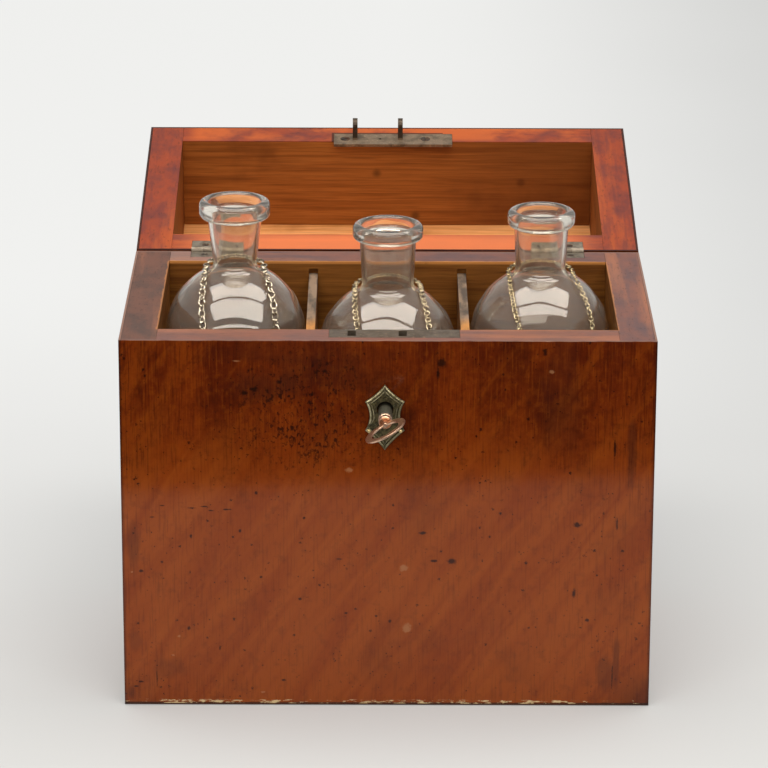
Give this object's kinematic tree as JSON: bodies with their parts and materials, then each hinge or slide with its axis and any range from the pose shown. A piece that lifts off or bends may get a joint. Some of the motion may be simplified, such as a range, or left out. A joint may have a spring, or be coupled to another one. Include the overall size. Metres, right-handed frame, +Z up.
{
  "type": "bottle case",
  "caption": "Veneered wooden case with a hinged lid, a key lock and compartments that hold round glass decanter bottles with label chains.",
  "frame": {"origin": "centre of the case's underside, on the surface it stands on", "axes": "+X to the right seen from the front, +Y from the front with the keyhole to the back with the hinges, +Z up"},
  "size_m": [0.3, 0.4094, 0.2758],
  "materials": {
    "veneer": "polished mahogany veneer, worn and spotted",
    "pine": "bare pine, darkened, rims stained red-brown",
    "brass": "tarnished brass",
    "steel": "dark iron",
    "key_metal": "polished by handling",
    "glass": "clear, smooth",
    "silver": "bright, slightly yellowed"
  },
  "bodies": {
    "case": {"front_board": "pine", "back_board": "pine", "left_board": "pine", "right_board": "pine", "bottom_board": "pine", "front_veneer": "veneer", "back_veneer": "veneer", "left_veneer": "veneer", "right_veneer": "veneer", "divider_left": "pine", "divider_right": "pine", "lock_plate": "brass", "lock_screw_upper_left": "steel", "lock_screw_upper_right": "steel", "lock_screw_lower_left": "steel", "lock_screw_lower_right": "steel", "lock_cap": "brass", "lock_spring": "steel", "lock_pin": "steel", "escutcheon": "brass", "escutcheon_pin_left": "brass", "escutcheon_pin_right": "brass", "body_hinge_left": "brass", "body_hinge_right": "brass", "hinge_pin_left": "steel", "hinge_pin_right": "steel", "body_hinge_screw_left_outer": "steel", "body_hinge_screw_left_inner": "steel", "body_hinge_screw_right_outer": "steel", "body_hinge_screw_right_inner": "steel"},
    "lid": {"lid_front_board": "pine", "lid_back_board": "pine", "lid_left_board": "pine", "lid_right_board": "pine", "lid_top_board": "pine", "lid_front_veneer": "veneer", "lid_back_veneer": "veneer", "lid_left_veneer": "veneer", "lid_right_veneer": "veneer", "lid_top_veneer": "veneer", "lid_hinge_left": "brass", "lid_hinge_right": "brass", "lid_hinge_screw_left_outer": "steel", "lid_hinge_screw_left_inner": "steel", "lid_hinge_screw_right_outer": "steel", "lid_hinge_screw_right_inner": "steel", "link_plate": "brass", "link_plate_screw_left": "steel", "link_plate_screw_right": "steel"},
    "turning_key": {"key": "key_metal"},
    "sliding_bolt": {"lock_bolt": "brass"},
    "left_bottle": {"bottle_left": "glass", "chain_left": "silver", "plate_left": "silver"},
    "middle_bottle": {"bottle_middle": "glass", "chain_middle": "silver", "plate_middle": "silver"},
    "right_bottle": {"bottle_right": "glass", "chain_right": "silver", "plate_right": "silver"}
  },
  "joints": [
    {"name": "lid_hinge", "type": "hinge", "parent": "case", "child": "lid", "pos_m": [0, 0.0882, 0.2192], "axis": [-1, 0, 0], "range_deg": [-170, 0]},
    {"name": "key_turn", "type": "hinge", "parent": "case", "child": "turning_key", "pos_m": [-0.0014, -0.124, 0.179], "axis": [0, -1, 0], "range_deg": [0, 95]},
    {"name": "bolt_throw", "type": "slide", "parent": "case", "child": "sliding_bolt", "axis": [-1, 0, 0], "range_m": [0, 0.007]},
    {"name": "bottle_left_lift", "type": "slide", "parent": "case", "child": "left_bottle", "axis": [0, 0, 1], "range_m": [0, 0.215]},
    {"name": "bottle_middle_lift", "type": "slide", "parent": "case", "child": "middle_bottle", "axis": [0, 0, 1], "range_m": [0, 0.215]},
    {"name": "bottle_right_lift", "type": "slide", "parent": "case", "child": "right_bottle", "axis": [0, 0, 1], "range_m": [0, 0.215]}
  ],
  "couplings": [
    {"joint": "key_turn", "follows": "bolt_throw", "rad_per_m": 236.86}
  ]
}
